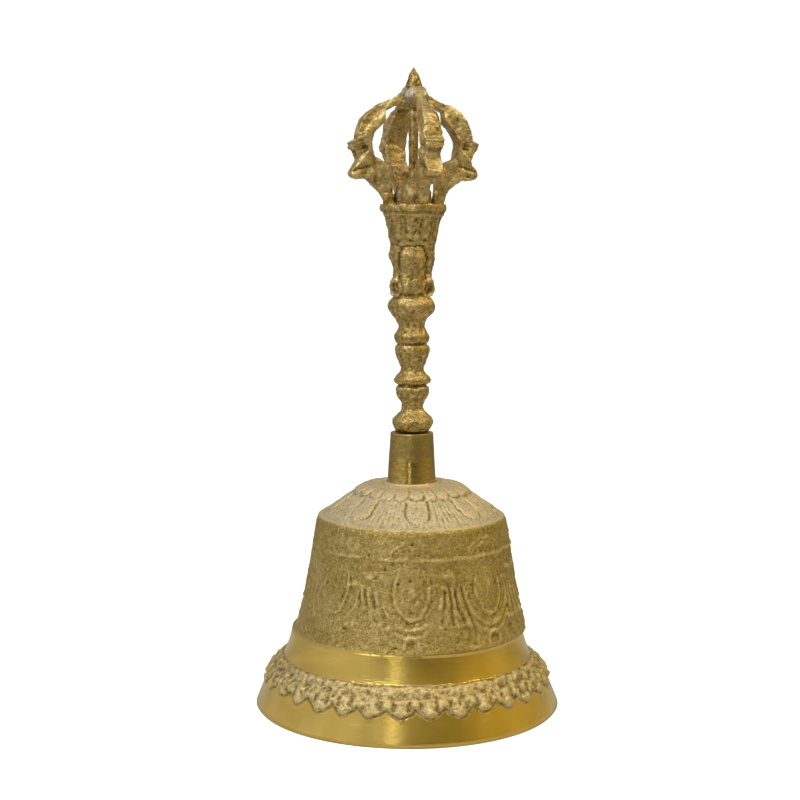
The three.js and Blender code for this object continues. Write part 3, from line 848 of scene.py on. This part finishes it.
def eye_and_rod(name, eye, rod_points):
    """A wire eye welded to a turned rod, as one closed mesh."""
    grid = Turned(rod_points, 32, ring=True)
    vertices = np.zeros((0, 3))
    faces = []
    for part in (grid.places(), eye):
        index = len(vertices) + np.arange(part[..., 0].size).reshape(part.shape[:2])
        vertices = np.vstack([vertices, part.reshape(-1, 3)])
        faces += grid_faces(index, True)
    places, normals, faces = solid_of(name, vertices, faces, voxel=0.2, smoothing=3)
    relief = 0.03 * lumps(places, 1.5)
    return mesh_of(name, places + normals * relief[:, None], faces, {})


def hanger_eye_bolt():
    """The eye bolt through the crown."""
    bolt = outline(
        (0.05, 55.6), (2, (1.85, 55.6)), (14, (1.85, 66.3)), (2, (1.6, 66.6)), (2, (0.05, 66.6)))
    return eye_and_rod("hanger_eye_bolt", torus(3.4, 1.1, 52.6, quarter_turn=False), bolt)


def clapper_rod():
    """The clapper's rod, peened at its foot, with an eye that loops through the bolt's eye."""
    rod = outline(
        (0.05, 4.0), (2, (1.7, 4.0)), (4, (2.5, 4.4), (2.5, 5.5)), (2, (1.2, 5.5)),
        (40, (1.2, 45.7)), (2, (0.05, 45.7)))
    return eye_and_rod("clapper_rod", torus(3.2, 1.1, 48.5, quarter_turn=True), rod)


def clapper_ball():
    """A turned ball with a short neck, bored for the rod."""
    centre, radius = 12.0, 6.5
    low, high = math.asin(3 / radius), math.pi - math.asin(2.6 / radius)
    arc = [(radius * math.sin(t), centre - radius * math.cos(t)) for t in np.linspace(low, high, 48)]
    top = outline(arc[-1], (5, (2.5, 20.0)), (2, (2.3, 20.1)), (2, (1.5, 20.1)), (4, (1.5, 5.6)))
    points = np.vstack([arc, top[1:]])
    grid = Turned(points, 96, ring=True)
    flat = grid.places()
    nick = hill(np.abs(lumps(flat, 2.2)), 0.75, 0.12) * (grid.radius > 3)
    return skin("clapper_ball", grid.places(-0.06 * nick), True, stained=0.3 + 0.4 * nick)


# ---------------------------------------------------------------- pieces

def build_pieces():
    """Every shown piece, with its material, body and the CAD nodes that it stands for."""
    shell_brass = cast_brass(
        "shell_brass", deep=(0.22, 0.15, 0.033), middle=(0.54, 0.39, 0.11),
        crest=(0.87, 0.7, 0.33), roughness=0.5, depth=0.3)
    shaft_brass = cast_brass(
        "shaft_brass", deep=(0.13, 0.08, 0.018), middle=(0.5, 0.345, 0.1),
        crest=(0.92, 0.71, 0.33), roughness=0.42, depth=0.2)
    bright = turned_brass()
    pale_solder = solder("pale_solder", (0.4, 0.31, 0.15), (0.64, 0.6, 0.5), (0.92, 0.9, 0.84))
    dull_solder = solder("dull_solder", (0.36, 0.25, 0.08), (0.42, 0.33, 0.16), (0.7, 0.64, 0.5))
    iron = drawn_iron()

    piece(bell_casting(), shell_brass, "cast_brass", "bell", "bell_shell")
    piece(ferrule_tube(), bright, "turned_brass", "bell", "ferrule")
    piece(braze_ring(), shell_brass, "solder", "bell", "ferrule_braze")
    piece(handle_casting(), shaft_brass, "handle_brass", "bell", "handle_shaft")
    for number, side in enumerate(PRONG_SIDES):
        mesh = prong_casting(f"prong_casting_{side}", number)
        piece(mesh, shaft_brass, "handle_brass", "bell", f"prong_{side}")
    piece(solder_bed_lump(), dull_solder, "solder", "bell", "solder_bed")
    piece(rod_casting(), shaft_brass, "handle_brass", "bell", "centre_rod")
    piece(solder_cap_lump(), pale_solder, "solder", "bell", "solder_cap")
    piece(spike_casting(), shaft_brass, "handle_brass", "bell", "finial_spike")
    piece(hanger_eye_bolt(), iron, "iron", "hanger", "hanger_eye")
    piece(clapper_rod(), iron, "iron", "clapper", "clapper_shank")
    piece(clapper_ball(), bright, "turned_brass", "clapper", "clapper_bob")

    # These three keep the CAD's shapes, because they are hidden inside the ferrule.
    for node, material in (("hanger_washer", iron), ("hanger_nut", iron), ("tang_solder", dull_solder)):
        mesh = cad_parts[node].data
        mesh.materials.clear()
        mesh.materials.append(material)


# ---------------------------------------------------------------- stage, lights and camera

CLEAR_RADIUS = 42                 # mm: the floor is clear inside the lip
LIGHT_TARGET = Vector((0, 0, 0.07))                 # in metres, as the camera's place is
CAMERA_PLACE = Vector((-0.0033, -0.4091, 0.128))
CAMERA_TILT = 6.1                 # degrees down from level
CAMERA_ROLL = 0.25                # degrees
CAMERA_LENS = 67.5                # mm, for a sensor as wide as this
SENSOR_WIDTH = 36


def floor():
    """A pale floor, white to the camera, that grows dark away from the bell for all other rays. It
    is clear from below and under the bell, so that the clapper can be seen from below."""
    bpy.ops.mesh.primitive_circle_add(vertices=96, radius=3, fill_type="NGON", location=(0, 0, 0))
    ground = bpy.context.object
    ground.name = "floor"
    paint = Paint("floor_white")
    from_axis = paint.add("VectorMath", {0: paint.coordinates}, operation="LENGTH").outputs["Value"]
    shade = paint.mix(paint.span(from_axis, 0.16, 0.4), (0.6, 0.6, 0.6), (0.28, 0.28, 0.28))
    paint.feed(paint.shader.inputs["Base Color"], shade)
    paint.feed(paint.shader.inputs["Roughness"], 0.9)
    paint.feed(paint.shader.inputs["Emission Color"], (1, 1, 1, 1))
    seen = paint.sum("MULTIPLY", paint.add("LightPath").outputs["Is Camera Ray"], 1.02)
    paint.feed(paint.shader.inputs["Emission Strength"], seen)
    under_bell = paint.sum("LESS_THAN", from_axis, CLEAR_RADIUS * MM)
    clear = paint.sum("MAXIMUM", under_bell, paint.add("NewGeometry").outputs["Backfacing"])
    sides = paint.add("MixShader", {
        0: clear,
        1: paint.shader.outputs["BSDF"],
        2: paint.add("BsdfTransparent").outputs["BSDF"]})
    paint.feed(paint.tree.nodes["Material Output"].inputs["Surface"], sides.outputs["Shader"])
    ground.data.materials.append(paint.material)


def softbox(name, azimuth, elevation, distance, width, height, power, colour=(1, 1, 1)):
    """An area light that faces the bell, in metres and watts. Azimuth is from the front, growing
    towards +X."""
    away = Euler((-math.radians(elevation), 0, math.radians(azimuth))).to_matrix() @ Vector((0, -1, 0))
    light = bpy.data.lights.new(name, "AREA")
    light.shape = "RECTANGLE"
    light.size, light.size_y = width, height
    light.energy = power
    light.color = colour
    shown = bpy.data.objects.new(name, light)
    bpy.context.scene.collection.objects.link(shown)
    shown.location = LIGHT_TARGET + distance * away
    shown.rotation_euler = away.to_track_quat("Z", "Y").to_euler()


def surroundings():
    """The studio as a panorama: white to the camera, and for the lighting a pale room that is dark
    in front, but for a pale strip left of the middle, and golden on the right."""
    world = bpy.data.worlds.new("studio")
    bpy.context.scene.world = world
    world.use_nodes = True
    nodes = Nodes(world.node_tree)
    nodes.tree.nodes.clear()
    direction = nodes.add("TexCoord").outputs["Generated"]
    x, y, z = nodes.add("SeparateXYZ", {0: direction}).outputs
    azimuth = nodes.sum("ARCTAN2", x, nodes.sum("MULTIPLY", y, -1.0))
    turn = nodes.span(azimuth, -math.pi, math.pi)

    def panorama(*stops):
        """A colour for each azimuth: stops of (degrees, red, green, blue)."""
        node = nodes.add("ValToRGB", {"Fac": turn})
        elements = node.color_ramp.elements
        while len(elements) < len(stops):
            elements.new(0.5)
        for element, (degrees, *colour) in zip(elements, stops):
            element.position = (degrees + 180) / 360
            element.color = (*colour, 1)
        return node.outputs["Color"]

    def layered(start, end, below, above):
        """below up to the height start of the direction, above from end on."""
        share = nodes.span(z, start, end, interpolation_type="SMOOTHSTEP")
        return nodes.mix(share, below, above)

    horizon = panorama(
        (-180, .3, .29, .26), (-70, .8, .78, .7), (-34, .75, .73, .65), (-24, .14, .12, .09),
        (-15, .1, .09, .07), (-13, .6, .58, .5), (-9, .6, .58, .5), (-6, .1, .08, .04),
        (8, .05, .04, .02), (22, .07, .06, .03), (44, .26, .2, .07), (90, .56, .44, .15),
        (180, .3, .29, .26))
    room = panorama(
        (-180, .3, .29, .26), (-110, .42, .41, .38), (-60, .6, .59, .53), (-25, .5, .49, .45),
        (-14, .36, .345, .27), (0, .34, .32, .2), (14, .25, .225, .09), (40, .27, .23, .08),
        (58, .46, .36, .11), (95, .55, .43, .14), (130, .42, .35, .2), (180, .3, .29, .26))
    ceiling = (0.62, 0.61, 0.57)
    sky = layered(0.5, 0.85, layered(0.04, 0.2, horizon, room), ceiling)
    light = nodes.add("Background", {"Color": sky})
    white = nodes.add("Background", {"Color": (1, 1, 1, 1), "Strength": 1.1})
    choice = nodes.add("MixShader", {
        0: nodes.add("LightPath").outputs["Is Camera Ray"],
        1: light.outputs[0],
        2: white.outputs[0]})
    nodes.add("OutputWorld", {"Surface": choice.outputs[0]})


def camera():
    """A long lens in front of the bell, level with the foot of its cup and looking slightly down."""
    data = bpy.data.cameras.new("camera")
    data.lens = CAMERA_LENS
    data.sensor_width = SENSOR_WIDTH
    shown = bpy.data.objects.new("camera", data)
    bpy.context.scene.collection.objects.link(shown)
    tilt = Matrix.Rotation(math.radians(90 - CAMERA_TILT), 4, "X")
    roll = Matrix.Rotation(math.radians(CAMERA_ROLL), 4, "Z")
    shown.matrix_world = Matrix.Translation(CAMERA_PLACE) @ tilt @ roll
    bpy.context.scene.camera = shown


build_pieces()
floor()
surroundings()
softbox("strip", azimuth=-11.5, elevation=16, distance=0.9, width=0.045, height=0.9, power=0.3)
softbox("key", azimuth=-35, elevation=52, distance=0.8, width=0.4, height=0.4, power=1.8)
softbox("fill_right", azimuth=78, elevation=50, distance=0.9, width=0.5, height=0.5, power=1.6,
        colour=(1, 0.84, 0.5))
camera()
bpy.context.scene.view_settings.view_transform = "Standard"
